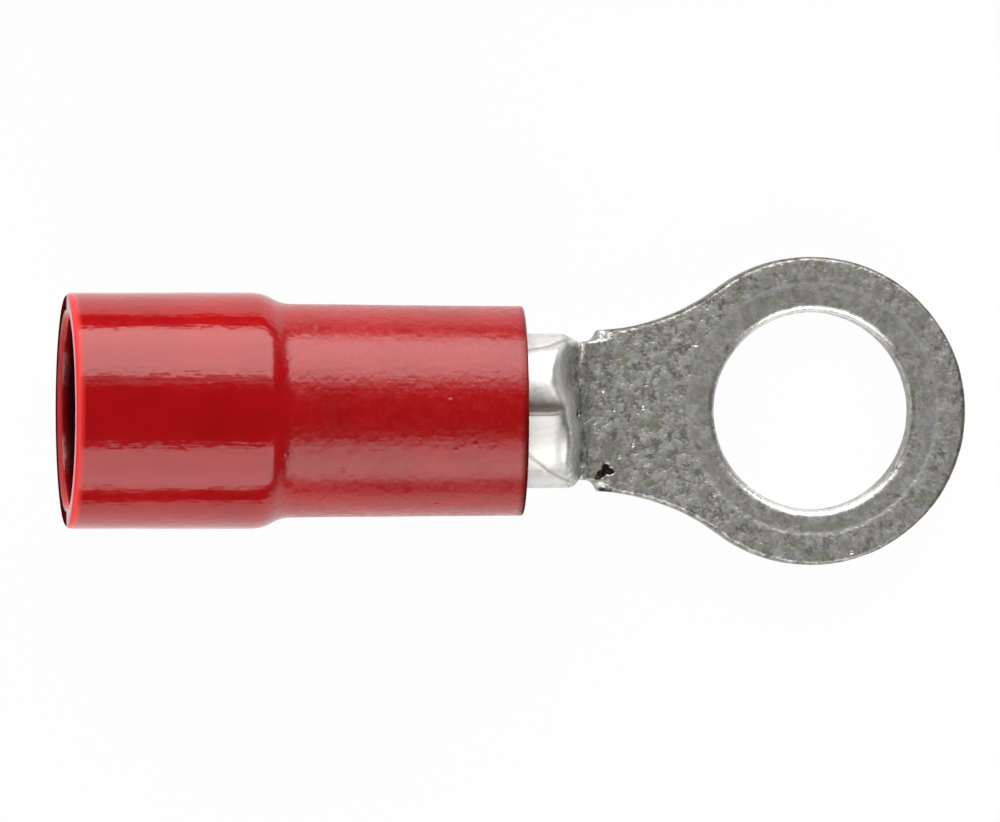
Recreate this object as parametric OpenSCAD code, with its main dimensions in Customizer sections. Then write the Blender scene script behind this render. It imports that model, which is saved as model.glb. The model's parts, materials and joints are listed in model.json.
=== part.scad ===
// Insulated ring terminal: one stamped and rolled sheet-metal piece pressed into a two-diameter sleeve.
// Millimetres. Z is the axis of the stud hole, Z = 0 is the underside of the tongue, and the ring's tip
// points along +X, so the barrel and the sleeve lie along -X.

/* [Ring and tongue] */
// Thickness of the sheet that the terminal is stamped from
sheet_t = 0.8; // [0.7:0.05:0.85]
// Diameter of the stud hole
stud_hole_d = 4.3; // [3.7:0.1:4.5]
// Outer diameter of the ring
ring_d = 6.75; // [6.4:0.05:7.4]
// Width of the neck where it leaves the barrel
neck_w = 3.52; // [3.3:0.02:4]
// Radius of the concave flare that carries the neck into the ring
flare_r = 4.8; // [4:0.1:7]
// Distance from the stud hole's axis to the start of the neck
tongue_l = 4.71; // [4.4:0.01:5.2]
// Radius of the rolled-in edge at the top of the stud hole
hole_roll_r = 0.2; // [0.1:0.02:0.24]
// Width of the rolled-off edge along the top of the ring and flares
edge_roll_w = 0.08; // [0.04:0.01:0.12]

/* [Coined seat] */
// Diameter of the coined seat round the stud hole, measured at its upper edge
coin_d = 5.5; // [5.3:0.05:5.8]
// Depth of the coined seat
coin_depth = 0.04; // [0.02:0.01:0.08]
// Width of the sloped step round the coined seat
coin_step_w = 0.1; // [0.05:0.01:0.2]
// Sideways offset of the coining punch from the stud hole
coin_offset = 0.08; // [0:0.01:0.1]

/* [Barrel] */
// Outer diameter of the rolled barrel
barrel_d = 3.4; // [3.3:0.02:3.6]
// Length of the round barrel, all of it inside the sleeve
barrel_l = 4.75; // [4:0.05:4.9]
// Number of grip grooves in the barrel's bore
groove_count = 3; // [1:1:4]
// Distance between two grip grooves
groove_pitch = 0.95; // [0.8:0.05:1.1]
// Width of a grip groove
groove_w = 0.3; // [0.2:0.05:0.4]
// Depth of a grip groove
groove_depth = 0.08; // [0.05:0.01:0.12]
// Size of the bevel at the barrel's wire entry
entry_bevel = 0.25; // [0.1:0.05:0.4]
// How far the wire bore runs into the pressed nose
stop_past_barrel = 0.15; // [0:0.05:0.2]
// Width of the butt seam along the barrel's top
seam_w = 0.08; // [0.06:0.01:0.12]
// Depth of the butt seam
seam_depth = 0.07; // [0.04:0.01:0.12]

/* [Pressed nose] */
// Length of the nose from the sleeve's end to the neck
nose_l = 1.72; // [1.5:0.01:2]
// Length of the nose that stays round in front of the sleeve
round_l = 0.5; // [0.3:0.05:0.6]
// Length of the slope that brings the barrel's top down to the tongue
slope_l = 0.75; // [0.6:0.05:0.85]
// Height above the tongue of the slope's foot, where the rolled wings end
foot_h = 0.15; // [0.05:0.01:0.25]
// How far the slope's sides droop below its middle
crown_h = 0.45; // [0.2:0.05:0.6]
// Width of the nose between the two notches behind the neck
notch_w = 3.02; // [2.8:0.02:3.2]

/* [Sleeve] */
// Wall of the narrow section, over the barrel
grip_wall_t = 0.63; // [0.5:0.01:0.75]
// How far the wide section stands out from the narrow one
step_rise = 0.25; // [0.15:0.01:0.4]
// Wall of the wide section
mouth_wall_t = 0.48; // [0.3:0.01:0.6]
// Length of the straight wide end
mouth_l = 4.04; // [3.4:0.02:4.4]
// Length of the smooth step between the two diameters
step_l = 1.08; // [0.9:0.02:1.4]
// How much the narrow section's radius shrinks towards the tongue end
front_taper = 0.04; // [0:0.01:0.1]
// Length of the narrow section
grip_l = 4.92; // [4.92:0.02:5.6]
// Radius of the rounded outer rim at the mouth
mouth_rim_r = 0.1; // [0.04:0.02:0.16]
// Radius of the rounded outer rim at the tongue end
front_rim_r = 0.06; // [0.02:0.02:0.12]

/* [Hidden] */
$fn = 96;
cut = 0.5;                       // how far a cutter runs past the face that it cuts
metal_colour = [0.62, 0.62, 0.6];
vinyl_colour = [0.74, 0.07, 0.1];

// Places along X
neck_x = -tongue_l;              // start of the neck, end of the nose
nose_x = neck_x - nose_l;        // start of the nose, end face of the sleeve
slope_x = nose_x + round_l;      // head of the slope
foot_x = slope_x + slope_l;      // foot of the slope
barrel_x = nose_x - barrel_l;    // wire entry of the barrel
step_end_x = nose_x - grip_l;    // narrow end of the sleeve's step
step_start_x = step_end_x - step_l;
mouth_x = step_start_x - mouth_l;

// Barrel: rolled from the same sheet, its underside level with the tongue's
barrel_r = barrel_d / 2;
axis_z = barrel_r;
bore_r = barrel_r - sheet_t;

// Sleeve: built up from the barrel that it grips
grip_r = barrel_r + grip_wall_t;
front_r = grip_r - front_taper;
mouth_r = grip_r + step_rise;
mouth_bore_r = mouth_r - mouth_wall_t;

// Ring
ring_r = ring_d / 2;
hole_r = stud_hole_d / 2;
coin_z = sheet_t - coin_depth;

// Flare: an arc tangent to the neck's straight edge and to the ring
flare_y = neck_w / 2 + flare_r;
flare_x = -sqrt(pow(ring_r + flare_r, 2) - pow(flare_y, 2));
flare_angle = atan2(flare_y, -flare_x);                  // where flare and ring meet, from -X
meet_x = -ring_r * cos(flare_angle);

// Nose: sections of a loft from the round barrel to the flat neck
slope_steps = 12;
foot_steps = 3;
section_columns = 30;            // points along the top of a section, and as many below
nose_inset = 0.02;               // step down from the barrel to the nose, under the end of the sleeve
nose_r = barrel_r - nose_inset;
nose_stations = concat(
    [nose_x],
    [for (k = [0 : slope_steps]) slope_x + slope_l * k / slope_steps],
    [for (k = [1 : foot_steps]) foot_x + (neck_x - foot_x) * k / foot_steps]
);

function clamp01(v) = max(0, min(1, v));
function smooth01(v) = v * v * (3 - 2 * v);
// Share of the slope that lies behind x
function slope_share(x) = clamp01((x - slope_x) / slope_l);
// Height of the nose's top along its middle
function foot_z(x) = sheet_t + foot_h * clamp01((neck_x - x) / (neck_x - foot_x));
function ridge_z(x) = foot_z(x) + (barrel_d - foot_z(x)) * (1 + cos(180 * slope_share(x))) / 2;
// Height of the nose's top at its sides
function side_z(x) = ridge_z(x) - crown_h * sin(180 * slope_share(x));
// Half of the round section's width at height z
function chord(z) = z >= axis_z ? nose_r : sqrt(max(0, pow(nose_r, 2) - pow(axis_z - z, 2)));
function nose_half_w(x) = max(notch_w / 2, chord(side_z(x)));
// Height of the round section above and below its axis at y
function round_rise(y) = sqrt(max(0, pow(nose_r, 2) - y * y));
function nose_top(x, y) =
    min(axis_z + round_rise(y), ridge_z(x) - (ridge_z(x) - side_z(x)) * pow(y / nose_half_w(x), 2));
// The round underside unrolls into the tongue's flat one
function unrolled(x) = smooth01((x - nose_x) / nose_l);
function nose_bottom(x, y) = (axis_z - round_rise(y)) * (1 - unrolled(x));
// One closed section: over the top from +Y to -Y, and back below
function nose_section(x) =
    let (w = nose_half_w(x), columns = [for (i = [0 : section_columns - 1])
        w * cos(180 * (i + 0.5) / section_columns)])
    concat(
        [for (y = columns) [x, y, nose_top(x, y)]],
        [for (i = [section_columns - 1 : -1 : 0]) [x, columns[i], nose_bottom(x, columns[i])]]
    );

// Closed skin through sections of n points, whose point i lies straight above point n - 1 - i
module loft(sections) {
    n = len(sections[0]);
    last = (len(sections) - 1) * n;
    polyhedron(
        points = [for (s = sections) for (p = s) p],
        faces = concat(
            [for (i = [0 : n / 2 - 2]) [i, i + 1, n - 2 - i, n - 1 - i]],
            [for (k = [0 : n : last - n]) for (i = [0 : n - 1]) each
                let (j = (i + 1) % n)
                [[k + i, k + n + j, k + j], [k + i, k + n + i, k + n + j]]],
            [for (i = [0 : n / 2 - 2]) [last + n - 1 - i, last + n - 2 - i, last + i + 1, last + i]]
        )
    );
}

// Turned solid along the barrel's axis, from a half profile of (radius, x) points or shapes
module turned_along_x() {
    translate([0, 0, axis_z])
        rotate([0, 90, 0])
            rotate_extrude()
                children();
}

// Plan of the tongue: ring, flares and neck
module tongue_plan() {
    circle(ring_r);
    difference() {
        translate([neck_x, -ring_r])
            square([meet_x - neck_x, ring_d]);
        for (side = [-1, 1])
            translate([flare_x, side * flare_y])
                circle(flare_r);
        // the neck's straight edge, where the flare has not begun yet
        for (side = [-1, 1])
            translate([neck_x - cut, side * (neck_w / 2 + ring_r) - ring_r])
                square([max(0, flare_x - neck_x) + cut, ring_d]);
    }
}

// Corner left outside a rolled edge of radius r, with the edge's face at 0 and its top at 0
module roll_corner(r) {
    difference() {
        translate([-r, -r])
            square(r + cut);
        translate([-r, -r])
            circle(r);
    }
}

// Corner left outside an edge that slopes off at 45 degrees over a width w
module slope_corner(w) {
    polygon([[-w - cut, cut], [cut, -w - cut], [cut, cut]]);
}

// What the blanking punch rolled off the top of the outline
module edge_roll() {
    past_neck = 3;               // degrees that the cutter runs on past the start of the neck
    neck_angle = min(90, acos((neck_x - flare_x) / flare_r) + past_neck);
    translate([0, 0, sheet_t]) {
        rotate([0, 0, flare_angle - 180])
            rotate_extrude(angle = 360 - 2 * flare_angle)
                translate([ring_r, 0])
                    slope_corner(edge_roll_w);
        for (side = [0, 1])
            mirror([0, side, 0])
                translate([flare_x, -flare_y, 0])
                    rotate([0, 0, flare_angle])
                        rotate_extrude(angle = neck_angle - flare_angle)
                            translate([flare_r, 0])
                                mirror([1, 0])
                                    slope_corner(edge_roll_w);
    }
}

// Stud hole with its rolled top edge
module stud_hole() {
    translate([0, 0, -cut])
        cylinder(r = hole_r, h = sheet_t + 2 * cut);
    translate([0, 0, coin_z])
        rotate_extrude()
            translate([hole_r, 0])
                mirror([1, 0])
                    roll_corner(hole_roll_r);
}

// Coined seat: a shallow recess with a sloped step
module coined_seat() {
    translate([0, coin_offset, coin_z])
        cylinder(r1 = coin_d / 2 - coin_step_w, r2 = coin_d / 2, h = coin_depth);
    translate([0, coin_offset, sheet_t])
        cylinder(r = coin_d / 2, h = cut);
}

module tongue() {
    difference() {
        linear_extrude(sheet_t)
            tongue_plan();
        edge_roll();
        coined_seat();
        stud_hole();
    }
}

// Bore of the barrel, with its wire entry bevel and grip grooves; it ends flat against the pressed nose
module barrel_bore() {
    turned_along_x() {
        translate([0, barrel_x - cut])
            square([bore_r, barrel_l + stop_past_barrel + cut]);
        for (k = [0 : groove_count - 1])
            translate([0, barrel_x + groove_pitch * (k + 1)])
                square([bore_r + groove_depth, groove_w]);
        polygon([
            [0, barrel_x - cut], [bore_r + entry_bevel + cut, barrel_x - cut],
            [bore_r, barrel_x + entry_bevel], [0, barrel_x + entry_bevel]
        ]);
    }
}

// Butt seam where the rolled edges meet, along the barrel and down the slope
module butt_seam() {
    rotate([90, 0, 0])
        linear_extrude(seam_w, center = true)
            polygon(concat(
                [[foot_x, barrel_d + cut], [barrel_x - cut, barrel_d + cut],
                 [barrel_x - cut, barrel_d - seam_depth]],
                [for (x = nose_stations) if (x <= foot_x) [x - seam_depth, ridge_z(x) - seam_depth]]
            ));
}

module terminal_body() {
    color(metal_colour)
        difference() {
            union() {
                tongue();
                loft([for (x = nose_stations) nose_section(x)]);
                turned_along_x()
                    translate([0, barrel_x])
                        square([barrel_r, barrel_l]);
            }
            barrel_bore();
            butt_seam();
        }
}

// Half profile of a round body whose radius steps smoothly from wide to narrow along the sleeve.
// Two equal arcs, tangent to each other and to both diameters, make the step.
module stepped_profile(wide_r, narrow_r, end_r) {
    drop = wide_r - narrow_r;
    arc_r = (pow(step_l, 2) / 4 + pow(drop, 2) / 4) / drop;
    middle_x = (step_start_x + step_end_x) / 2;
    translate([0, mouth_x])
        square([wide_r, mouth_l]);
    translate([0, step_start_x])
        square([wide_r - arc_r, step_l / 2]);
    intersection() {
        translate([wide_r - arc_r, step_start_x])
            circle(arc_r);
        translate([0, step_start_x])
            square([wide_r, step_l / 2]);
    }
    difference() {
        translate([0, middle_x])
            square([wide_r - drop / 2, step_l / 2]);
        translate([narrow_r + arc_r, step_end_x])
            circle(arc_r);
    }
    polygon([[0, step_end_x], [narrow_r, step_end_x], [end_r, nose_x], [0, nose_x]]);
}

module insulating_sleeve() {
    color(vinyl_colour)
        turned_along_x()
            difference() {
                stepped_profile(mouth_r, grip_r, front_r);
                stepped_profile(mouth_bore_r, barrel_r, barrel_r);
                translate([mouth_r, mouth_x])
                    mirror([0, 1])
                        roll_corner(mouth_rim_r);
                translate([front_r, nose_x])
                    roll_corner(front_rim_r);
            }
}

terminal_body();
insulating_sleeve();
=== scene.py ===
"""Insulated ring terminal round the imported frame: a tin-plated metal body and a red vinyl sleeve.

Shapes are worked out in millimetres, in the frame's axes, and turned into metres when a mesh is
made. X runs from the sleeve's mouth to the ring's tip, and the stud hole is at the origin. The
metal body is one closed skin of a distance field, so its bends, rolled edges, coined seat, seam
and small press marks run into each other as they do on a stamping. The sleeve is a turned skin.
"""
import json
import math

import bpy
import numpy as np
from mathutils import Matrix, Vector


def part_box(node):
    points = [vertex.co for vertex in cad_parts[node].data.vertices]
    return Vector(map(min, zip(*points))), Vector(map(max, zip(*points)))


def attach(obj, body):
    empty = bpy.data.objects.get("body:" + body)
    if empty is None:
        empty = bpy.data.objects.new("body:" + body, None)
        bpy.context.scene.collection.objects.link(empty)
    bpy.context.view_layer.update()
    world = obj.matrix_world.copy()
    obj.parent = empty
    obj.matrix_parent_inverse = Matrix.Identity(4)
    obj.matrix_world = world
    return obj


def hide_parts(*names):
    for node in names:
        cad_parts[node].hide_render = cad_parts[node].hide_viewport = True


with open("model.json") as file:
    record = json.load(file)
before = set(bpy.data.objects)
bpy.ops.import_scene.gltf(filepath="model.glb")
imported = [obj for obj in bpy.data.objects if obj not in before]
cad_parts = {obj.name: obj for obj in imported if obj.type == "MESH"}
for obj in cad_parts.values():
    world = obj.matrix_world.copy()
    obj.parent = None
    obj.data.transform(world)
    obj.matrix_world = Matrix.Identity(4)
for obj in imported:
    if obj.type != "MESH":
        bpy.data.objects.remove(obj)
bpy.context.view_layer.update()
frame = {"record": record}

MM = 0.001

# ---------------------------------------------------------------- sizes, from the frame
MOUNTS = {m["name"]: m for m in frame["record"]["mounts"]}
BODY_LOW, BODY_HIGH = [[v / MM for v in corner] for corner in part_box("terminal_body")]
SLEEVE_LOW, SLEEVE_HIGH = [[v / MM for v in corner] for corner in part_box("insulating_sleeve")]

RING_R = BODY_HIGH[0]
HOLE_R = MOUNTS["stud_hole"]["dims"]["r_mm"]
BARREL_X = BODY_LOW[0]
AXIS_Z = (SLEEVE_LOW[2] + SLEEVE_HIGH[2]) / 2
BARREL_R = AXIS_Z                      # the barrel's underside is level with the tongue's
BORE_R = MOUNTS["wire_barrel"]["dims"]["r_mm"]
SHEET_T = BARREL_R - BORE_R
MOUTH_X, NOSE_X = SLEEVE_LOW[0], SLEEVE_HIGH[0]
MOUTH_R = (SLEEVE_HIGH[2] - SLEEVE_LOW[2]) / 2
MOUTH_BORE_R = MOUNTS["insulation_entry"]["dims"]["r_mm"]
MOUTH_L = MOUNTS["insulation_entry"]["dims"]["length_mm"]

# ---------------------------------------------------------------- sizes that the looks add
# Tongue and coined seat
NECK_X = -4.71                         # where the nose ends and the flat tongue begins
NECK_W = 3.52
NECK_CORNER_R = 0.08
FLARE_R = 4.8
EDGE_ROLL_R = 0.1
HOLE_ROLL_R = 0.2
BURR_R = 0.03
COIN_R = 2.82
COIN_DEPTH = 0.012
COIN_STEP_W = 0.14
COIN_OFFSET = 0.04

# Pressed nose: the barrel's top comes down to the tongue along a slope
SLOPE_X = NOSE_X + 0.4
SLOPE_L = 0.98
SLOPE_EASE = 2.0                       # how slowly the slope begins
SLOPE_EARLY = 0.20                     # how much earlier it begins on the +Y side
SLOPE_WANDER = [(0.04, 2.3, 0.6), (0.02, 6.1, 2)]         # waves: height, radians per mm, phase
SLOPE_BEND_W = 0.3                     # width of the bend between the slope and the round
FOOT_X = SLOPE_X + SLOPE_L
FOOT_H = 0.15
FOOT_BEND_W = 0.32
CROWN_H = 0.45                         # how far the slope's sides droop below its middle
NOTCH_W = 3.02
NOTCH_EDGE_R = 0.04
NOSE_OVERLAP = 0.25                    # how far the nose runs on inside the tongue
FLANK_LEAST = 0.04                     # what is left of the flanks' roundness at the tongue

# Barrel and its butt seam
BARREL_END_R = 0.05
STOP_X = NOSE_X + 0.15
ENTRY_BEVEL = 0.25
GROOVE_PITCH = 0.95
GROOVE_W = 0.3
GROOVE_DEPTH = 0.08
SEAM_DEPTH = 0.015
SEAM_SIGMA = 0.05
SEAM_WANDER = [(0.012, 3.1, 0), (0.006, 9.7, 1)]
SEAM_END = ((-5.22, -0.08, 1.15), (0.05, 0.08, 0.25))     # centre and radii of its open end
SEAM_END_EDGE_W = 0.04
SEAM_HALF_BAND = 0.1                   # strip on each side of the seam with a finer grid
LIP_FLAT = 0.1                         # the seam's -Y lip rolls off between these distances
LIP_REACH = 0.7
LIP_TILT = 0.44
LIP_FADE_START, LIP_FADE_L = 0.75, 0.9
CREASE_LEFT = (-6.31, 1.35, 0.233)     # fold line on the +Y side: x, distance from y = 0, slope
CREASE_RIGHT = (-6.02, 1.334, 0.8, 0.37)                  # on the -Y side: slope before x, after x
CREASE_DEPTH = 0.010
CREASE_W = 0.045

# Small marks
PITS = [                               # torn pits at the -Y notch: centre and radii
    ((-4.65, -1.375, 0.80), (0.085, 0.075, 0.22)),
    ((-4.55, -1.250, 0.80), (0.070, 0.085, 0.30)),
    ((-4.46, -1.325, 0.80), (0.080, 0.060, 0.26)),
    ((-4.72, -1.455, 0.80), (0.060, 0.045, 0.15)),
    ((-4.66, -1.715, 0.78), (0.090, 0.030, 0.10)),
    ((-4.47, -1.735, 0.78), (0.070, 0.035, 0.12)),
]
PIT_EDGE_W = 0.03
NICKS = [                              # polished dents with painted glints: centre on the top face, radii, glint strength
    ((-3.66, 0.57), (0.060, 0.055), 1.0), ((-3.73, 0.06), (0.050, 0.055), 1.0),
    ((-3.58, 0.16), (0.04, 0.03), 0.5), ((-2.19, 2.39), (0.075, 0.050), 1.0),
    ((2.07, -0.95), (0.090, 0.045), 1.0), ((1.88, -1.26), (0.060, 0.060), 1.0),
    ((1.80, -1.86), (0.140, 0.045), 1.0), ((-4.25, -1.02), (0.060, 0.040), 0.35),
    ((-1.0, 3.30), (0.10, 0.04), 0.9), ((0.86, -3.10), (0.060, 0.040), 0.6),
    ((-4.6, 0.45), (0.05, 0.04), 0.4), ((-2.55, 1.45), (0.06, 0.05), 0.4),
    ((-4.36, 0.02), (0.050, 0.050), 0.35), ((-2.15, -1.85), (0.050, 0.040), 0.35),
    ((-3.95, -0.75), (0.05, 0.05), 0.4),
]
NICK_LIFT, NICK_HEIGHT = 0.02, 0.045   # centre above the face, and radius upright
RIPPLES = [(0.0025, 1.6, 3), (0.0012, 0.45, 4)]           # depth, wavelength and seed

# Painted shade: how strong each kind of darkening is, and the brown painted shade beside the seam
PAINTED_SHADE_CREASE, PAINTED_SHADE_WALL, PAINTED_SHADE_EDGE = 0.5, 0.6, 0.75
SEAM_SHADE_Y, SEAM_SHADE_W = 0.07, 0.14
RING_SMOOTH = 0.55                     # how far the press smoothed the ring outside the coined seat

# Sleeve
GRIP_R = 2.33
FRONT_R = 2.29
STEP_L = 0.9
STEP_START_X = MOUTH_X + MOUTH_L
STEP_END_X = STEP_START_X + STEP_L
MOUTH_RIM_R = 0.1
FRONT_RIM_R = 0.06
FRONT_BORE_EDGE_R = 0.05
FUNNEL_R = 0.14                        # rounded inner edge of the mouth
CUT_BACK, CUT_LEAN = 0.035, 0.095      # the tongue end's cut: back at the middle, and out of square
BOW_START_X = STEP_END_X + 2           # where the soft wall begins to follow that cut
HOLLOW_DEPTH, HOLLOW_WAVE, HOLLOW_SEED = 0.004, 4.5, 11
DIMPLE_DEPTH, DIMPLE_WAVE, DIMPLE_SEED = 0.001, 0.9, 12
HOLLOW_MOST = 0.02
TURNS = 192

# Grid that the body's skin is made on
GRID_FINE = 0.0435
GRID_SEAM = 0.02
GRID_HIDDEN = 0.11                     # along the barrel under the sleeve


# ---------------------------------------------------------------- field tools
def union_smooth(a, b, width):
    """Union of two distances with a blend of that width."""
    h = np.maximum(width - np.abs(a - b), 0.0)
    return np.minimum(a, b) - h * h / (4 * width)


def cut_smooth(a, b, width):
    """Intersection of two distances with a blend of that width."""
    return -union_smooth(-a, -b, width)


def cut_round(a, b, radius):
    """Intersection of two distances whose edge is rounded to that radius."""
    inner = np.minimum(np.maximum(a, b), -radius)
    return inner + np.hypot(np.maximum(a + radius, 0.0), np.maximum(b + radius, 0.0))


def ball(x, y, z, centre, radii):
    """Rough distance to an ellipsoid."""
    dx, dy, dz = ((q - c) / r for q, c, r in zip((x, y, z), centre, radii))
    return (np.sqrt(dx * dx + dy * dy + dz * dz) - 1) * min(radii)


def ramp01(v):
    return np.clip(v, 0.0, 1.0)


def smooth01(v):
    """0 up to v = 0, 1 from v = 1, and a smooth rise between them."""
    v = ramp01(v)
    return v * v * (3 - 2 * v)


def bell(v):
    return np.exp(-v ** 2)


def wander(v, terms):
    """Sum of sine waves along v, each given by its height, its radians per mm and its phase."""
    return sum(height * np.sin(pace * v + phase) for height, pace, phase in terms)


def waves(points, wavelength, seed, count=18):
    """Smooth noise of about unit height: a sum of seeded plane waves."""
    draw = np.random.default_rng(seed)
    total = np.zeros(points[0].shape)
    for _ in range(count):
        heading = draw.normal(size=3)
        reach = wavelength * np.linalg.norm(heading) * draw.uniform(0.75, 1.35)
        heading *= 2 * math.pi / reach
        phase = draw.uniform(0, 2 * math.pi)
        along = points[0] * heading[0] + points[1] * heading[1] + points[2] * heading[2]
        total += np.sin(along + phase)
    return total * math.sqrt(2 / count)


# ---------------------------------------------------------------- metal body
FLARE_Y = NECK_W / 2 + FLARE_R
FLARE_X = -math.sqrt((RING_R + FLARE_R) ** 2 - FLARE_Y ** 2)


def plan_distance(x, y):
    """Distance to the outline of ring, flares and neck, negative inside."""
    side = np.abs(y)
    ring = np.hypot(x, y) - RING_R
    flare = FLARE_R - np.hypot(x - FLARE_X, side - FLARE_Y)
    neck = side - NECK_W / 2
    on_ring = FLARE_X * side - FLARE_Y * x < 0
    return np.where(on_ring, ring, np.where(x > FLARE_X, flare, neck))


def tongue_field(x, y, z):
    from_coin = np.hypot(x, y - COIN_OFFSET)
    top = SHEET_T - COIN_DEPTH * smooth01((COIN_R - from_coin) / COIN_STEP_W)
    outline = cut_round(plan_distance(x, y), NECK_X - x, NECK_CORNER_R)
    hole = HOLE_R - np.hypot(x, y)
    upper_outline = cut_round(z - top, outline, EDGE_ROLL_R)
    upper_hole = cut_round(z - top, hole, HOLE_ROLL_R)
    lower = cut_round(-z, np.maximum(outline, hole), BURR_R)
    return np.maximum(np.maximum(upper_outline, upper_hole), lower)


def crooked(x, y):
    """The slope's own x: the press left it a little crooked, and earlier on the +Y side."""
    early = SLOPE_EARLY * smooth01(y / 0.6) * smooth01((NECK_X - 0.3 - x) / 0.5)
    return x + early + wander(y, SLOPE_WANDER)


def ridge(x):
    """Height of the nose's top along its middle, its slope, and a swell that is 1 halfway down."""
    along = ramp01((x - SLOPE_X) / SLOPE_L)
    share = along ** SLOPE_EASE
    foot = SHEET_T + FOOT_H * np.minimum((NECK_X - x) / (NECK_X - FOOT_X), 1.0)
    drop = 2 * BARREL_R - foot
    height = foot + drop * (1 + np.cos(math.pi * share)) / 2
    slope = drop * np.sin(math.pi * share) * math.pi / (2 * SLOPE_L)
    slope = slope * SLOPE_EASE * along ** (SLOPE_EASE - 1)
    return height, slope, np.sin(math.pi * share)


def nose_field(x, y, z):
    """The rolled tube, pressed flat towards the neck and cut to the notch's width."""
    height, slope, swell = ridge(crooked(x, y))
    side_height = height - CROWN_H * swell
    below = np.maximum(AXIS_Z - side_height, 0.0)
    half_w = np.maximum(NOTCH_W / 2, np.sqrt(np.maximum(BARREL_R ** 2 - below ** 2, 0.0)))
    # towards the neck, the tube's lower half is squeezed down into steep flanks
    flank = np.maximum(1 - smooth01((x - NOSE_X) / (NECK_X - NOSE_X)), FLANK_LEAST)
    v = np.where(z < AXIS_Z * flank, AXIS_Z - z / flank, np.maximum(z - AXIS_Z, 0.0))
    rolled = np.hypot(y, v) - BARREL_R
    crown = (height - side_height) * (y / half_w) ** 2
    pressed = (z - height + crown) / np.hypot(1, slope)
    skin = cut_smooth(rolled, pressed, SLOPE_BEND_W)
    skin = cut_round(skin, np.abs(y) - half_w, NOTCH_EDGE_R)
    skin = cut_round(skin, -z, BURR_R)
    ends = np.maximum(BARREL_X - x, x - NECK_X - NOSE_OVERLAP)
    return cut_round(skin, ends, BARREL_END_R)


def bore_field(x, y, z):
    """Distance to the barrel's bore with its bevel and grip grooves, negative inside the bore."""
    radius = BORE_R + np.maximum(ENTRY_BEVEL - (x - BARREL_X), 0.0)
    for k in (1, 2, 3):
        middle = BARREL_X + GROOVE_PITCH * k + GROOVE_W / 2
        radius = radius + GROOVE_DEPTH * smooth01(2 - 2 * np.abs(x - middle) / (GROOVE_W / 2))
    return np.maximum(np.hypot(y, z - AXIS_Z) - radius, x - STOP_X)


def lip_roll(from_seam):
    """How far the lip on the seam's -Y side lies under the round: it rolls off more tightly."""
    side = np.abs(from_seam)
    tilted = np.minimum(side, LIP_REACH)
    round_drop = (tilted ** 2 - LIP_FLAT ** 2) / (2 * BARREL_R)
    lobe = np.maximum(LIP_TILT * (tilted - LIP_FLAT) - round_drop, 0)
    return np.where(from_seam > 0, 0, lobe * (1 - smooth01((side - LIP_FADE_START) / LIP_FADE_L)))


def from_crease(x, y):
    """Distance in plan to the fold lines between the rolled lobes and the barrel's sides."""
    left_x, left_y, left_slope = CREASE_LEFT
    right_x, right_y, slope_before, slope_after = CREASE_RIGHT
    left = left_y + left_slope * (x - left_x)
    right = right_y + np.where(x < right_x, slope_before, slope_after) * (x - right_x)
    return np.where(y > 0, y - left, -y - right)


def metal_base(x, y, z):
    """The body without its finest marks, which the grid would miss."""
    body = union_smooth(nose_field(x, y, z), tongue_field(x, y, z), FOOT_BEND_W)
    body = np.maximum(body, -bore_field(x, y, z))
    # the butt seam and the fold lines run along the top, down to the foot of the slope
    on_top = smooth01((z - SHEET_T - 0.05) / 0.3) * smooth01((SLOPE_X + 0.45 - x) / 0.4)
    from_seam = y - wander(x, SEAM_WANDER)
    body = body + SEAM_DEPTH * on_top * np.exp(-(from_seam / SEAM_SIGMA) ** 2 / 2)
    body = body + lip_roll(from_seam) * on_top
    body = body + CREASE_DEPTH * on_top * bell(from_crease(x, y) / CREASE_W)
    body = cut_smooth(body, -ball(x, y, z, *SEAM_END), SEAM_END_EDGE_W)
    for centre, radii in PITS:
        body = cut_smooth(body, -ball(x, y, z, centre, radii), PIT_EDGE_W)
    return body


def metal_field(x, y, z):
    """The whole body, with the ripples and dents that its vertices are settled on."""
    body = metal_base(x, y, z)
    pressed = smooth01((x - NOSE_X - 0.4) / 0.8)
    for depth, wavelength, seed in RIPPLES:
        body = body + depth * (1 + waves((x, y, z), wavelength, seed)) * pressed
    for (nick_x, nick_y), (wide, high), _ in NICKS:
        on_coin = math.hypot(nick_x, nick_y - COIN_OFFSET) < COIN_R
        centre = (nick_x, nick_y, SHEET_T - (COIN_DEPTH if on_coin else 0) + NICK_LIFT)
        body = np.maximum(body, -ball(x, y, z, centre, (wide, high, NICK_HEIGHT)))
    return body


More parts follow.
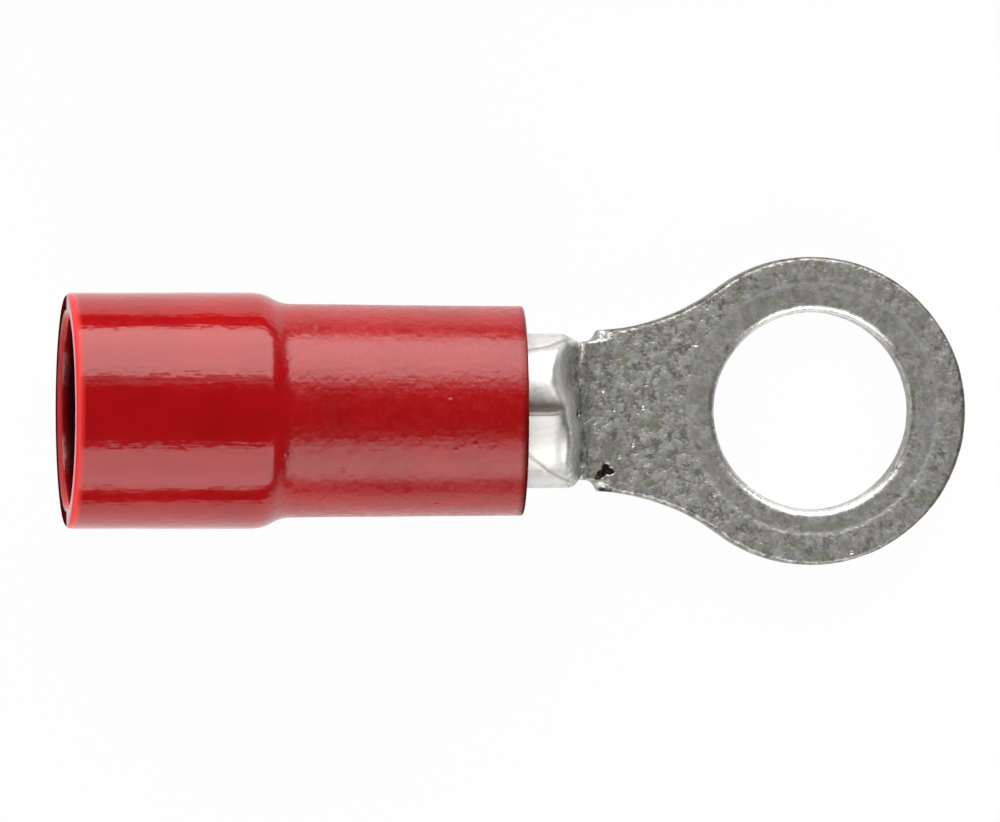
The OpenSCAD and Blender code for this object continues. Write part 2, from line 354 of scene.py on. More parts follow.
def zones(x, y, z, normals):
    """What the press and the tools left on the metal, and where shade and highlights are painted on
    it, from 0 to 1 at each vertex.
    """
    up = normals[:, 2]
    from_hole = np.hypot(x, y)
    from_coin = np.hypot(x, y - COIN_OFFSET)
    on_tongue = smooth01((x - NECK_X) / 0.2) * (z > 0.3)
    on_barrel = (z > SHEET_T + 0.1) * smooth01((FOOT_X + 0.05 - x) / 0.1)

    # painted highlight on polished wear: the nicks, and the hole's rolled edge where the tool
    # rubbed it, brightened at +Y and -Y
    nicked = np.zeros(len(x))
    for (nick_x, nick_y), (wide, high), glint_strength in NICKS:
        near = np.hypot((x - nick_x) / wide, (y - nick_y) / high)
        nicked = np.maximum(nicked, glint_strength * smooth01(1.5 - near) * (z > SHEET_T - 0.2))
    in_hole = from_hole < HOLE_R + HOLE_ROLL_R + 0.05
    sideways = np.abs(y) / np.maximum(from_hole, 0.1)
    hole_wear_highlight = in_hole * smooth01((sideways - 0.55) / 0.35)
    roll = ramp01((0.97 - up) / 0.1) * smooth01((up - 0.35) / 0.2)

    # painted shade: torn pits, fold lines, sheared walls and the outline's rolled edge are
    # darkened, the edge most on the +Y and +X sides
    torn = np.zeros(len(x))
    for centre, radii in PITS:
        from_pit = ball(x, y, z, centre, [r * 1.1 for r in radii]) / min(radii)
        torn = np.maximum(torn, ramp01(0.35 - from_pit))
    line = bell((from_crease(x, y) + 0.02 * np.sin(7 * x)) / 0.03)
    crease = line * on_barrel * (z > AXIS_Z * 0.6)
    wall = smooth01((0.45 - np.abs(up)) / 0.3) * smooth01((x - NECK_X + 0.25) / 0.2)
    wall = wall * (1 - hole_wear_highlight)
    shadowed = smooth01((y + 0.3) / 0.8) + smooth01((x - 0.6) / 1.5)
    edge = smooth01((0.985 - up) / 0.1) * ~in_hole * on_tongue * np.clip(shadowed, 0.5, 1)

    # painted highlight: a light line along the coined seat's step, where its edge catches the light
    coin_step = bell((from_coin - COIN_R + COIN_STEP_W / 2) / 0.04)
    coin = smooth01((COIN_R - from_coin) / 0.1)
    on_ring = smooth01((x + 2.2) / 1.2)
    # painted light: the nose's steep slope, which reflects the dark tent, is marked to be lightened
    on_slope = smooth01((0.8 - up) / 0.3) * smooth01((SLOPE_X + 0.9 - x) / 0.2)
    return {
        "polish_and_highlight": np.maximum(nicked, roll * on_tongue * hole_wear_highlight),
        "coin_line_highlight": coin_step * on_tongue,
        "smooth_ring": np.maximum(coin, RING_SMOOTH * on_ring),
        "painted_shade": np.maximum.reduce(
            [torn, PAINTED_SHADE_CREASE * crease, PAINTED_SHADE_WALL * wall, PAINTED_SHADE_EDGE * edge]),
        # painted shade, brown, where the upper lobe runs down into the seam
        "seam_shade": bell((y - SEAM_SHADE_Y) / SEAM_SHADE_W) * on_barrel * smooth01((SLOPE_X + 0.4 - x) / 0.3),
        "slope": on_slope * (np.abs(y) < 1.6),
    }


# ---------------------------------------------------------------- skin of a field
def grid_lines():
    """Grid lines in x, y and z: coarse where the sleeve hides the barrel, fine at the seam."""
    hidden = np.arange(BARREL_X - 0.1, NOSE_X - 0.2, GRID_HIDDEN)
    x = np.concatenate([hidden, np.arange(hidden[-1] + GRID_FINE, RING_R + 0.1, GRID_FINE)])
    seam = np.arange(-SEAM_HALF_BAND, SEAM_HALF_BAND + 0.0001, GRID_SEAM)
    half = np.arange(SEAM_HALF_BAND + GRID_FINE, RING_R + 0.1, GRID_FINE)
    y = np.concatenate([-half[::-1], seam, half])
    z = np.arange(-0.07, 2 * BARREL_R + 0.1, GRID_FINE)
    return x, y, z


def skin_of(field, lines):
    """Closed quad skin of field = 0 on a grid: one vertex in each cell that the surface crosses,
    at the middle of the places where it crosses the cell's edges."""
    gx, gy, gz = lines
    value = field(gx[:, None, None], gy[None, :, None], gz[None, None, :])
    inside = value < 0
    corners = [(i, j, k) for i in (0, 1) for j in (0, 1) for k in (0, 1)]
    size = [n - 1 for n in inside.shape]

    def shifted(a, c):
        return a[c[0]:c[0] + size[0], c[1]:c[1] + size[1], c[2]:c[2] + size[2]]

    count = sum(shifted(inside, c).astype(np.int8) for c in corners)
    cells = np.argwhere((count > 0) & (count < 8))
    number = np.full(size, -1, dtype=np.int64)
    number[tuple(cells.T)] = np.arange(len(cells))
    values = np.stack([
        value[cells[:, 0] + i, cells[:, 1] + j, cells[:, 2] + k] for i, j, k in corners], 1)
    places = np.stack([
        np.stack([gx[cells[:, 0] + i], gy[cells[:, 1] + j], gz[cells[:, 2] + k]], 1)
        for i, j, k in corners], 1)
    total = np.zeros((len(cells), 3))
    hits = np.zeros(len(cells))
    for a in range(8):
        for b in range(a + 1, 8):
            if sum(p != q for p, q in zip(corners[a], corners[b])) != 1:
                continue
            crossed = (values[:, a] < 0) != (values[:, b] < 0)
            gap = values[:, a] - values[:, b]
            share = np.where(crossed, values[:, a] / np.where(crossed, gap, 1.0), 0.0)[:, None]
            hit = places[:, a] * (1 - share) + places[:, b] * share
            total += np.where(crossed[:, None], hit, 0.0)
            hits += crossed
    verts = total / hits[:, None]

    faces = []
    for axis in range(3):
        u, v = (axis + 1) % 3, (axis + 2) % 3
        low = np.take(inside, range(inside.shape[axis] - 1), axis)
        high = np.take(inside, range(1, inside.shape[axis]), axis)
        edges = np.argwhere(low != high)
        edges = edges[(edges[:, u] > 0) & (edges[:, v] > 0)]
        edges = edges[(edges[:, u] < size[u]) & (edges[:, v] < size[v])]
        leaving = low[tuple(edges.T)]
        ring = []
        for du, dv in ((-1, -1), (0, -1), (0, 0), (-1, 0)):
            cell = edges.copy()
            cell[:, u] += du
            cell[:, v] += dv
            ring.append(number[tuple(cell.T)])
        quads = np.stack(ring, 1)
        faces.append(np.where(leaving[:, None], quads, quads[:, ::-1]))
    return verts, np.concatenate(faces)


def gradient(field, p, step=0.004):
    out = np.empty_like(p)
    for axis in range(3):
        ahead, behind = p.copy(), p.copy()
        ahead[:, axis] += step
        behind[:, axis] -= step
        out[:, axis] = (field(*ahead.T) - field(*behind.T)) / (2 * step)
    return out


def settled(field, verts, reach=0.03):
    """Moves vertices onto the surface and returns them with the surface's own normals."""
    for _ in range(3):
        slope = gradient(field, verts)
        push = (field(*verts.T) / np.maximum((slope ** 2).sum(1), 1e-6))[:, None] * slope
        length = np.linalg.norm(push, axis=1, keepdims=True)
        verts = verts - push * np.minimum(1.0, reach / np.maximum(length, 1e-9))
    slope = gradient(field, verts)
    return verts, slope / np.maximum(np.linalg.norm(slope, axis=1, keepdims=True), 1e-9)


def mesh_object(name, verts, faces, normals=None):
    mesh = bpy.data.meshes.new(name)
    mesh.from_pydata((verts * MM).tolist(), [], faces.tolist())
    mesh.update()
    mesh.shade_smooth()
    if normals is not None:
        mesh.normals_split_custom_set_from_vertices(normals.tolist())
    obj = bpy.data.objects.new(name, mesh)
    bpy.context.scene.collection.objects.link(obj)
    return obj


def store_zones(obj, values_by_name):
    """Keeps each zone as an attribute of the mesh, for the materials to read."""
    for name, values in values_by_name.items():
        attribute = obj.data.attributes.new(name, "FLOAT", "POINT")
        attribute.data.foreach_set("value", values.astype(np.float32))


def make_terminal_body():
    verts, faces = skin_of(metal_base, grid_lines())
    verts, normals = settled(metal_field, verts)
    obj = mesh_object("tinned_terminal_body", verts, faces, normals)
    store_zones(obj, zones(*verts.T, normals))
    return obj


# ---------------------------------------------------------------- sleeve
def arc(cx, cr, radius, start, end, steps):
    """Points (x, r) on an arc, angles in degrees from +x towards +r."""
    angles = np.radians(np.linspace(start, end, steps))
    return np.stack([cx + radius * np.cos(angles), cr + radius * np.sin(angles)], 1)


def stretch(x0, r0, x1, r1, steps):
    """Points (x, r) along a straight line."""
    share = np.linspace(0, 1, steps)[:, None]
    return np.array([[x0, r0]]) * (1 - share) + np.array([[x1, r1]]) * share


def step_curve(wide, narrow, steps):
    """The smooth step between two radii: two equal arcs, tangent to each other."""
    drop = wide - narrow
    radius = (STEP_L ** 2 + drop ** 2) / (4 * drop)
    turn = math.degrees(math.asin(STEP_L / 2 / radius))
    return np.concatenate([
        arc(STEP_START_X, wide - radius, radius, 90, 90 - turn, steps),
        arc(STEP_END_X, narrow + radius, radius, 270 - turn, 270, steps)[1:]])


def sleeve_profile():
    """Closed profile of (x, r): outside from the mouth to the front, and back along the bore."""
    rim_x, rim_r = MOUTH_X + MOUTH_RIM_R, MOUTH_R - MOUTH_RIM_R
    end_x, end_r = NOSE_X - FRONT_RIM_R, FRONT_R - FRONT_RIM_R
    bore_end_x, bore_end_r = NOSE_X - FRONT_BORE_EDGE_R, BARREL_R + FRONT_BORE_EDGE_R
    funnel_x, funnel_r = MOUTH_X + FUNNEL_R, MOUTH_BORE_R + FUNNEL_R
    outside = [
        arc(rim_x, rim_r, MOUTH_RIM_R, 180, 90, 7),
        stretch(rim_x, MOUTH_R, STEP_START_X, MOUTH_R, 36)[1:],
        step_curve(MOUTH_R, GRIP_R, 12)[1:],
        stretch(STEP_END_X, GRIP_R, end_x, FRONT_R, 44)[1:],
        arc(end_x, end_r, FRONT_RIM_R, 90, 0, 6)[1:],
        stretch(NOSE_X, end_r, NOSE_X, bore_end_r, 6)[1:],
    ]
    inside = [
        arc(bore_end_x, bore_end_r, FRONT_BORE_EDGE_R, 0, -90, 4)[1:],
        stretch(bore_end_x, BARREL_R, STEP_END_X, BARREL_R, 20)[1:],
        step_curve(MOUTH_BORE_R, BARREL_R, 8)[::-1][1:],
        stretch(STEP_START_X, MOUTH_BORE_R, funnel_x, MOUTH_BORE_R, 16)[1:],
        arc(funnel_x, funnel_r, FUNNEL_R, 270, 180, 7)[1:],
        stretch(MOUTH_X, funnel_r, MOUTH_X, rim_r, 5)[1:-1],
    ]
    return np.concatenate(outside + inside)


def cut_back(z):
    """How far the slanted cut at the tongue end lies behind NOSE_X, at height z over the axis."""
    return np.maximum(CUT_BACK + CUT_LEAN * z / FRONT_R, 0)


def make_sleeve():
    profile = sleeve_profile()
    count = len(profile)
    turn = np.repeat(np.linspace(0, 2 * math.pi, TURNS, endpoint=False)[:, None], count, 1)
    x = np.repeat(profile[None, :, 0], TURNS, 0)
    r = np.repeat(profile[None, :, 1], TURNS, 0)
    y, z = r * np.sin(turn), r * np.cos(turn)
    # the soft wall is never quite round: shallow hollows, all inwards of the moulded size
    outer = smooth01((r - BARREL_R - 0.15) / 0.15)
    hollow = HOLLOW_DEPTH * (1 + 0.5 * waves((x * 0.5, y, z), HOLLOW_WAVE, HOLLOW_SEED))
    hollow = hollow + DIMPLE_DEPTH * (1 + waves((x, y, z), DIMPLE_WAVE, DIMPLE_SEED))
    r = r - outer * np.clip(hollow, 0, HOLLOW_MOST)
    y, z = r * np.sin(turn), r * np.cos(turn)
    # the tongue end was cut a little out of square, and the wall before it leans with the cut
    x = x - cut_back(z) * smooth01((x - BOW_START_X) / (NOSE_X - BOW_START_X))
    verts = np.stack([x, y, z + AXIS_Z], 2).reshape(-1, 3)
    a = np.arange(TURNS)[:, None] * count + np.arange(count)[None, :]
    b = np.roll(a, -1, 1)
    c, d = np.roll(b, -1, 0), np.roll(a, -1, 0)
    faces = np.stack([a, b, c, d], 2).reshape(-1, 4)[:, ::-1]
    obj = mesh_object("red_vinyl_sleeve", verts, faces)
    store_zones(obj, sleeve_zones(*verts.T))
    return obj


def sleeve_zones(x, y, z):
    """Painted shade along the tongue end's edge and low on the mouth's rim, and a painted highlight
    on the rest of the mouth's lip.
    """
    height = z - AXIS_Z
    from_cut = NOSE_X - cut_back(height) - x
    # painted shade along the tongue end's edge, stronger towards -Y
    front = smooth01((0.10 - from_cut) / 0.05) * (0.45 + 0.55 * smooth01((0.5 - y) / 0.8))
    # painted shade low on the mouth's rim
    mouth = smooth01((MOUTH_X + 0.035 - x) / 0.03) * smooth01((0.7 - height) / 0.6)
    # painted highlight on the rest of the mouth's lip
    lip = smooth01((MOUTH_X + 0.13 - x) / 0.05) * (1 - mouth)
    return {"front_edge_shade": front, "mouth_edge_shade": mouth, "lip": lip}


# ---------------------------------------------------------------- materials
VINYL_DEEP, VINYL_LIGHT = (0.28, 0.002, 0.003), (0.325, 0.003, 0.004)
# painted shade deep in the bore
VINYL_BORE_SHADE = (0.035, 0.001, 0.002)
# painted highlight on the mouth's lip
VINYL_LIP_HIGHLIGHT = (0.83, 0.055, 0.06)
# painted shade on the sleeve's edges
VINYL_PAINTED_SHADE = (0.06, 0.003, 0.003)
VINYL_IOR = 1.54

TIN_DARK, TIN_LIGHT = (0.25, 0.245, 0.22), (0.92, 0.91, 0.87)         # pressed and blotched
TIN_GREEN, TIN_VIOLET = (0.42, 0.46, 0.30), (0.48, 0.40, 0.44)
TIN_SMOOTH_DARK, TIN_SMOOTH_LIGHT = (0.70, 0.69, 0.67), (0.86, 0.85, 0.83)
# painted light on the nose's slope
TIN_SLOPE_PAINTED_LIGHT = (0.95, 0.95, 0.93)
# painted highlight along the coined step
TIN_COIN_LINE_HIGHLIGHT = (0.85, 0.84, 0.84)
# polished tin, brightened as a painted highlight
TIN_POLISHED_HIGHLIGHT = (0.95, 0.95, 0.94)
# painted shade beside the seam
TIN_SEAM_SHADE = (0.30, 0.22, 0.165)
# colours of the painted shade in pits, fold lines, walls and edges
PAINTED_SHADE_BLACK, PAINTED_SHADE_BROWN = (0.05, 0.04, 0.033), (0.15, 0.09, 0.065)

WHITE_FOR = ("Is Glossy Ray", "Is Transmission Ray")       # rays that see plain white, as a camera
TABLE_GREY = 0.9
TABLE_GLOW = 0.975                     # share of plain white in what is seen of the table


class Nodes:
    """Small helper that adds nodes to a material's tree and links them."""

    def __init__(self, name):
        self.material = bpy.data.materials.new(name)
        self.material.use_nodes = True
        self.tree = self.material.node_tree
        self.shader = self.tree.nodes["Principled BSDF"]
        self.output = self.tree.nodes["Material Output"]
        self.place = self.add("ShaderNodeTexCoord").outputs["Object"]

    def add(self, kind, **values):
        node = self.tree.nodes.new(kind)
        for key, value in values.items():
            if hasattr(node, key):
                setattr(node, key, value)
            else:
                node.inputs[key.replace("_", " ")].default_value = value
        return node

    def link(self, source, target):
        self.tree.links.new(source, target)

    def scaled(self, scale):
        node = self.add("ShaderNodeMapping")
        node.inputs["Scale"].default_value = scale
        self.link(self.place, node.inputs["Vector"])
        return node.outputs["Vector"]

    def noise(self, size_mm, detail=3.0, roughness=0.55, stretch_by=(1, 1, 1), distortion=0.0):
        """Noise whose lumps are about size_mm across."""
        per_metre = 1 / (size_mm * MM)
        node = self.add("ShaderNodeTexNoise", Scale=1.0, Detail=detail, Roughness=roughness,
                        Distortion=distortion)
        self.link(self.scaled([per_metre / s for s in stretch_by]), node.inputs["Vector"])
        return node.outputs["Fac"]

    def range(self, source, low, high, out_low, out_high, smooth=False):
        node = self.add("ShaderNodeMapRange")
        if smooth:
            node.interpolation_type = "SMOOTHSTEP"
        limits = {"From Min": low, "From Max": high, "To Min": out_low, "To Max": out_high}
        for name, value in limits.items():
            node.inputs[name].default_value = value
        self.link(source, node.inputs["Value"])
        return node.outputs["Result"]

    def math(self, operation, a, b):
        node = self.add("ShaderNodeMath")
        node.operation = operation
        for socket, value in zip(node.inputs, (a, b)):
            if isinstance(value, (int, float)):
                socket.default_value = value
            else:
                self.link(value, socket)
        return node.outputs["Value"]

    def times(self, a, b):
        return self.math("MULTIPLY", a, b)

    def mix(self, factor, a, b):
        node = self.add("ShaderNodeMix")
        node.data_type = "RGBA"
        for socket, value in ((node.inputs[0], factor), (node.inputs[6], a), (node.inputs[7], b)):
            if isinstance(value, (int, float)):
                socket.default_value = value
            elif isinstance(value, tuple):
                socket.default_value = (*value, 1)
            else:
                self.link(value, socket)
        return node.outputs[2]

    def bump(self, height, distance_mm, normal=None):
        node = self.add("ShaderNodeBump", Strength=1.0, Distance=distance_mm * MM)
        self.link(height, node.inputs["Height"])
        if normal is not None:
            self.link(normal, node.inputs["Normal"])
        return node.outputs["Normal"]

    def radius(self):
        """Distance from the sleeve's axis, in mm."""
        spot = self.add("ShaderNodeVectorMath", operation="MULTIPLY")
        self.link(self.place, spot.inputs[0])
        spot.inputs[1].default_value = (0, 1 / MM, 1 / MM)
        from_axis = self.add("ShaderNodeVectorMath", operation="DISTANCE")
        self.link(spot.outputs[0], from_axis.inputs[0])
        from_axis.inputs[1].default_value = (0, 0, AXIS_Z)
        return from_axis.outputs["Value"]

    def from_to(self, start_x, end_x):
        """0 before start_x and 1 after end_x, both in mm along the part."""
        node = self.add("ShaderNodeSeparateXYZ")
        self.link(self.place, node.inputs["Vector"])
        return self.range(node.outputs["X"], start_x * MM, end_x * MM, 0, 1, smooth=True)

    def zone(self, name, share=None):
        """A zone of the mesh, weakened to a share of its strength."""
        fac = self.add("ShaderNodeAttribute", attribute_name=name).outputs["Fac"]
        return fac if share is None else self.times(fac, share)

    def set(self, **values):
        """Sets inputs of the shader, either to values or to what they are linked to."""
        for key, value in values.items():
            socket = self.shader.inputs[key.replace("_", " ")]
            if isinstance(value, bpy.types.NodeSocket):
                self.link(value, socket)
            else:
                socket.default_value = value


def vinyl():
    n = Nodes("glossy_red_vinyl")
    lip = n.zone("lip")
    edges = n.math("MAXIMUM", n.zone("front_edge_shade"), n.zone("mouth_edge_shade"))
    narrow = n.from_to(STEP_START_X, STEP_END_X)

    patches = n.range(n.noise(1.4, detail=2.0), 0.35, 0.65, 0, 1)
    colour = n.mix(patches, VINYL_DEEP, VINYL_LIGHT)
    # painted shade: the bore darkens inwards from its lip
    bore = n.times(n.range(n.radius(), MOUTH_BORE_R + 0.02, MOUTH_BORE_R + 0.08, 1, 0),
                   n.from_to(MOUTH_X + 0.1, MOUTH_X + 0.3))
    colour = n.mix(bore, colour, VINYL_BORE_SHADE)
    # painted highlight on the mouth's lip
    colour = n.mix(n.times(lip, 0.9), colour, VINYL_LIP_HIGHLIGHT)
    # painted shade on the tongue end's edge and low on the mouth's rim
    colour = n.mix(n.times(edges, 0.85), colour, VINYL_PAINTED_SHADE)
    # the painted shade on the edges and the painted highlight on the lip lose their reflection
    shine = n.range(n.math("MAXIMUM", edges, n.times(lip, 0.92)), 0, 1, 0.5, 0.0)

    # the narrow section was rubbed duller where it was formed over the barrel
    rubbed = n.times(narrow, n.range(n.noise(0.22, detail=3.0), 0.35, 0.65, 0.08, 0.19))
    rough = n.math("ADD", n.range(n.noise(0.12, detail=2.0), 0.3, 0.7, 0.10, 0.17), rubbed)

    # drawn lines along the tube, soft lumps, and orange peel and pimples on the narrow section
    peel = n.times(n.noise(0.13, detail=2.0), n.range(narrow, 0, 1, 0.15, 1.0))
    dots = n.add("ShaderNodeTexVoronoi", Scale=1.0, Randomness=1.0)
    n.link(n.scaled([1 / (0.8 * MM)] * 3), dots.inputs["Vector"])
    pimples = n.times(n.range(dots.outputs["Distance"], 0.03, 0.11, 1, 0, smooth=True), narrow)
    normal = n.bump(n.noise(0.10, detail=2.0, stretch_by=(14, 1, 1)), 0.004)
    normal = n.bump(n.noise(0.35, detail=2.0), 0.012, normal)
    normal = n.bump(peel, 0.010, normal)
    normal = n.bump(pimples, 0.012, normal)

    n.set(Base_Color=colour, Specular_IOR_Level=shine, Roughness=rough, IOR=VINYL_IOR,
          Normal=normal)
    return n.material


def tinned_copper():
    n = Nodes("tin_plated_copper")
    pressed = n.from_to(NOSE_X + 0.65, NOSE_X + 1.0)
    blotches = n.noise(0.21, detail=3.0, roughness=0.6)
    grains = n.noise(0.075, detail=2.0, roughness=0.5)
    mottle = n.math("ADD", n.times(blotches, 0.6), n.times(grains, 0.4))
    # coarse blotches on neck and tongue, weaker ones on the ring that the press flattened again
    contrast = n.range(n.zone("smooth_ring"), 0, 1, 1.15, 0.6)
    level = n.math("ADD", n.times(n.math("SUBTRACT", mottle, 0.5), contrast), 0.5)

    colour = n.mix(n.range(level, 0.40, 0.60, 0, 1), TIN_DARK, TIN_LIGHT)
    green = n.range(n.noise(0.34, detail=1.0), 0.50, 0.66, 0, 0.9)
    colour = n.mix(green, colour, n.mix(0.55, colour, TIN_GREEN))
    violet = n.range(n.noise(0.27, detail=1.0, distortion=0.4), 0.50, 0.66, 0, 0.9)
    colour = n.mix(violet, colour, n.mix(0.5, colour, TIN_VIOLET))
    smooth = n.mix(n.range(blotches, 0.35, 0.65, 0, 1), TIN_SMOOTH_DARK, TIN_SMOOTH_LIGHT)
    colour = n.mix(pressed, smooth, colour)
    # painted light: the nose's slope is lightened
    colour = n.mix(n.zone("slope", 0.3), colour, TIN_SLOPE_PAINTED_LIGHT)
    # painted highlight along the coined step
    colour = n.mix(n.zone("coin_line_highlight", 0.45), colour, TIN_COIN_LINE_HIGHLIGHT)
    # polished wear, brightened as painted glints on the nicks and the hole's edge
    colour = n.mix(n.zone("polish_and_highlight", 0.85), colour, TIN_POLISHED_HIGHLIGHT)
    # painted shade, brown, beside the seam
    colour = n.mix(n.zone("seam_shade", 0.85), colour, TIN_SEAM_SHADE)
    # painted shade in pits, fold lines, sheared walls and rolled edges
    painted_shade = n.mix(n.range(n.noise(0.11, detail=1.0), 0.45, 0.65, 0, 1), PAINTED_SHADE_BLACK, PAINTED_SHADE_BROWN)
    colour = n.mix(n.zone("painted_shade", 0.9), colour, painted_shade)

    rough_pressed = n.range(level, 0.36, 0.64, 0.56, 0.42)
    rough_smooth = n.range(blotches, 0.3, 0.7, 0.42, 0.54)
    rough = n.math("ADD", n.times(rough_pressed, pressed),
                   n.times(n.math("SUBTRACT", 1.0, pressed), rough_smooth))
    rough = n.math("SUBTRACT", rough, n.zone("polish_and_highlight", 0.2))
    normal = n.bump(n.times(level, n.range(pressed, 0, 1, 0.15, 1.0)), 0.034)

    n.set(Base_Color=colour, Metallic=1.0, Roughness=rough, Normal=normal)
    return n.material


def table_white():
    """White in the picture and in reflections, and a plain matt table for the light."""
    n = Nodes("white_table")
    n.set(Base_Color=(TABLE_GREY, TABLE_GREY, TABLE_GREY, 1), Roughness=0.7, Specular_IOR_Level=0.0)
    glow = n.add("ShaderNodeEmission", Strength=1.0)
    path = n.add("ShaderNodeLightPath")
    seen = path.outputs["Is Camera Ray"]
    for other in WHITE_FOR:
        seen = n.math("MAXIMUM", seen, path.outputs[other])
    blend = n.add("ShaderNodeMixShader")
    n.link(n.times(seen, TABLE_GLOW), blend.inputs[0])
    n.link(n.shader.outputs[0], blend.inputs[1])
    n.link(glow.outputs[0], blend.inputs[2])
    n.link(blend.outputs[0], n.output.inputs["Surface"])
    return n.material


def matt_card(name, level):
    n = Nodes(name)
    n.set(Base_Color=(level, level, level, 1), Roughness=1.0, Specular_IOR_Level=0.0,
          Emission_Color=(1, 1, 1, 1), Emission_Strength=level)
    return n.material


def paint(obj, material):
    obj.data.materials.clear()
    obj.data.materials.append(material)


# ---------------------------------------------------------------- studio
VIEW_TILT = 6.0                        # degrees that the camera leans towards the sleeve's mouth
VIEW_DISTANCE = 760.0
VIEW_WIDTH = 21.834                    # width of the picture at the object, in mm
VIEW_CENTRE = Vector((-6.87, -0.005, 0.8))
SENSOR_WIDTH = 36

TABLE_HALF = 400.0
TABLE_GAP = 0.004                      # keeps the table clear of the ring's underside
WORLD_DIM = 0.05                       # what the world gives as light, behind the tent

SOFTBOX_L = 900
TENT_NEAR, TENT_FAR, TENT_TOP, TENT_BOTTOM = -1200.0, 1200.0, 1100.0, -100
TENT_LEVEL = 0.03
FLAG_LEVEL = 0.01
FLAG_BOTTOM = -3
FLAGS = {                              # ends in plan, and height over the tongue's underside
    "flag_left": ((-24, 14.6), (11, 14.6), 3.7),
    "flag_right": ((-24, -23), (11, -23), 6.9),
    "flag_mouth": ((-26, -23), (-26, 14.6), 3.7),
    "flag_ring": ((13, -23), (13, 14.6), 3.7),
}


def card(name, corners, material):
    """Flat four-cornered sheet of the studio."""
    mesh = bpy.data.meshes.new(name)
    mesh.from_pydata([tuple(v * MM for v in corner) for corner in corners], [], [(0, 1, 2, 3)])
    obj = bpy.data.objects.new(name, mesh)
    bpy.context.scene.collection.objects.link(obj)
    paint(obj, material)
    return obj


def make_camera():
    tilt = math.radians(VIEW_TILT)
    back = Vector((-math.sin(tilt), 0, math.cos(tilt)))
    right = Vector((math.cos(tilt), 0, math.sin(tilt)))
    up = Vector((0, 1, 0))
    camera = bpy.data.cameras.new("camera")
    camera.sensor_width = SENSOR_WIDTH
    camera.lens = SENSOR_WIDTH * VIEW_DISTANCE / VIEW_WIDTH
    camera.clip_start = 0.01
    camera.clip_end = 10
    obj = bpy.data.objects.new("camera", camera)
    turn = Matrix((right, up, back)).transposed().to_4x4()
    obj.matrix_world = Matrix.Translation((VIEW_CENTRE + back * VIEW_DISTANCE) * MM) @ turn
    bpy.context.scene.collection.objects.link(obj)
    bpy.context.scene.camera = obj


def make_floor():
    """White table on which the terminal rests: under the sleeve's wide end and the ring's tip."""
    half = TABLE_HALF
    corners = [(-half, -half, 0), (half, -half, 0), (half, half, 0), (-half, half, 0)]
    obj = card("table", corners, table_white())
    tilt = math.atan2(-SLEEVE_LOW[2], RING_R - STEP_START_X)
    turn = Matrix.Rotation(-tilt, 4, "Y")
    obj.matrix_world = Matrix.Translation(Vector((RING_R, 0, -TABLE_GAP)) * MM) @ turn


def softbox(name, toward_y, from_vertical, angular_width, distance, radiance):
    """Long softbox parallel to X, seen from the object at from_vertical degrees off the zenith."""
    angle = math.radians(from_vertical)
    spot = Vector((VIEW_CENTRE.x, toward_y * math.sin(angle) * distance,
                   math.cos(angle) * distance))
    width = 2 * distance * math.tan(math.radians(angular_width / 2))
    light = bpy.data.lights.new(name, "AREA")
    light.shape = "RECTANGLE"
    light.size = SOFTBOX_L * MM
    light.size_y = width * MM
    light.energy = radiance * math.pi * light.size * light.size_y
    obj = bpy.data.objects.new(name, light)
    aim = (Vector((VIEW_CENTRE.x, 0, 0)) - spot).normalized()
    right = Vector((1, 0, 0))
    up = (-aim).cross(right)
    turn = Matrix((right, up, -aim)).transposed().to_4x4()
    obj.matrix_world = Matrix.Translation(spot * MM) @ turn
    obj.visible_camera = False
    bpy.context.scene.collection.objects.link(obj)
    return obj


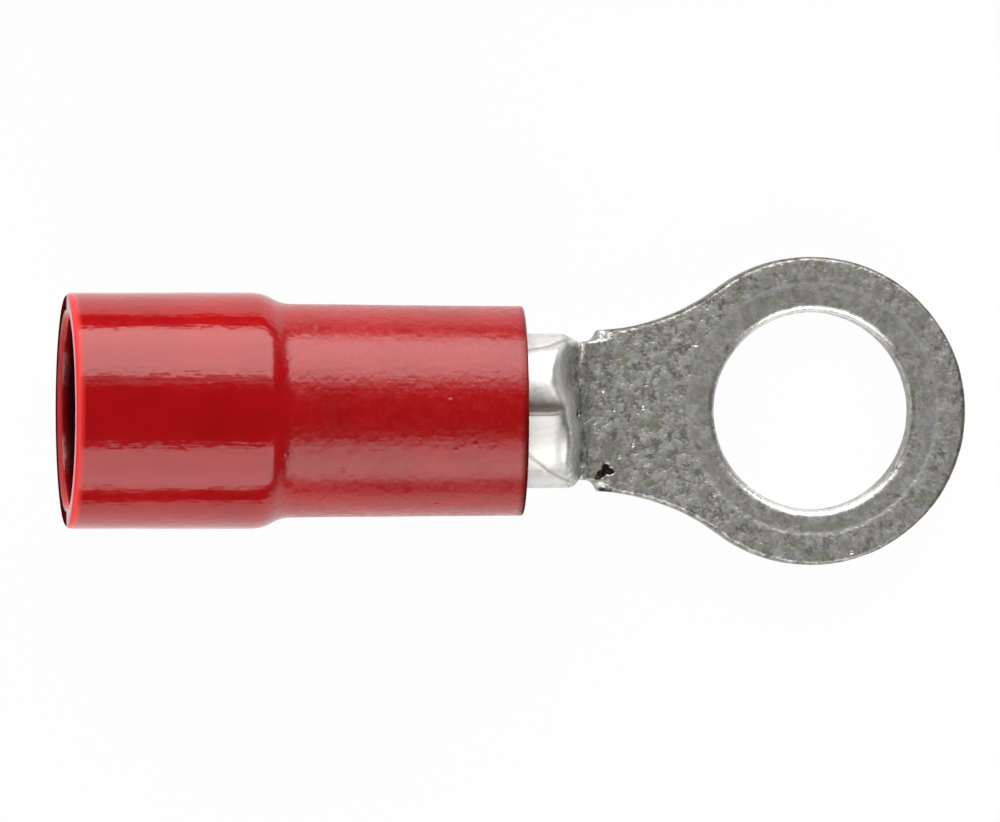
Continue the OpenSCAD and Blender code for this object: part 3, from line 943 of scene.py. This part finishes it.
def make_world():
    """White behind everything for the camera and for reflections, and nearly dark as a light."""
    world = bpy.data.worlds.new("studio")
    world.use_nodes = True
    tree = world.node_tree
    path = tree.nodes.new("ShaderNodeLightPath")
    seen = path.outputs["Is Camera Ray"]
    for other in WHITE_FOR:
        either = tree.nodes.new("ShaderNodeMath")
        either.operation = "MAXIMUM"
        tree.links.new(seen, either.inputs[0])
        tree.links.new(path.outputs[other], either.inputs[1])
        seen = either.outputs["Value"]
    shade = tree.nodes.new("ShaderNodeMapRange")
    shade.inputs["To Min"].default_value = WORLD_DIM
    tree.links.new(seen, shade.inputs["Value"])
    tree.links.new(shade.outputs["Result"], tree.nodes["Background"].inputs["Color"])
    bpy.context.scene.world = world


def dark_card(name, corners, level):
    """Black card out of the picture. It shapes the reflections and isn't seen by the camera."""
    obj = card(name, corners, matt_card(name, level))
    obj.visible_camera = False


def upright(start, end, bottom, top):
    """Corners of an upright sheet between two points in plan."""
    return [(*start, bottom), (*end, bottom), (*end, top), (*start, top)]


def make_tent():
    """Dark ceiling and walls round the softboxes, and low black flags that draw the edges."""
    a, b = (TENT_NEAR, TENT_NEAR), (TENT_FAR, TENT_NEAR)
    c, d = (TENT_FAR, TENT_FAR), (TENT_NEAR, TENT_FAR)
    dark_card("tent_ceiling", [(*corner, TENT_TOP) for corner in (a, b, c, d)], TENT_LEVEL)
    for name, start, end in (("tent_wall_a", a, b), ("tent_wall_b", b, c),
                             ("tent_wall_c", c, d), ("tent_wall_d", d, a)):
        dark_card(name, upright(start, end, TENT_BOTTOM, TENT_TOP), TENT_LEVEL)
    for name, (start, end, height) in FLAGS.items():
        dark_card(name, upright(start, end, FLAG_BOTTOM, height), FLAG_LEVEL)


def make_lights():
    """Two broad softboxes draw the sleeve's bands, and a narrow one draws the left band's edge."""
    softbox("softbox_left", 1, 62.5, 53, 600, 3.6)
    softbox("softbox_left_edge", 1, 31.5, 9, 600, 0.55)
    softbox("softbox_right", -1, 59, 46, 600, 2.15)
    # soft fill from low on both sides, too wide to show as a reflection
    softbox("fill_right", -1, 80, 24, 500, 7.0).visible_glossy = False
    softbox("fill_left", 1, 80, 24, 500, 5.0).visible_glossy = False


make_camera()
make_world()
make_floor()
make_tent()
make_lights()

metal = make_terminal_body()
paint(metal, tinned_copper())
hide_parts("terminal_body")
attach(metal, "root")

sleeve = make_sleeve()
paint(sleeve, vinyl())
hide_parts("insulating_sleeve")
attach(sleeve, "root")

bpy.context.scene.view_settings.view_transform = "Standard"
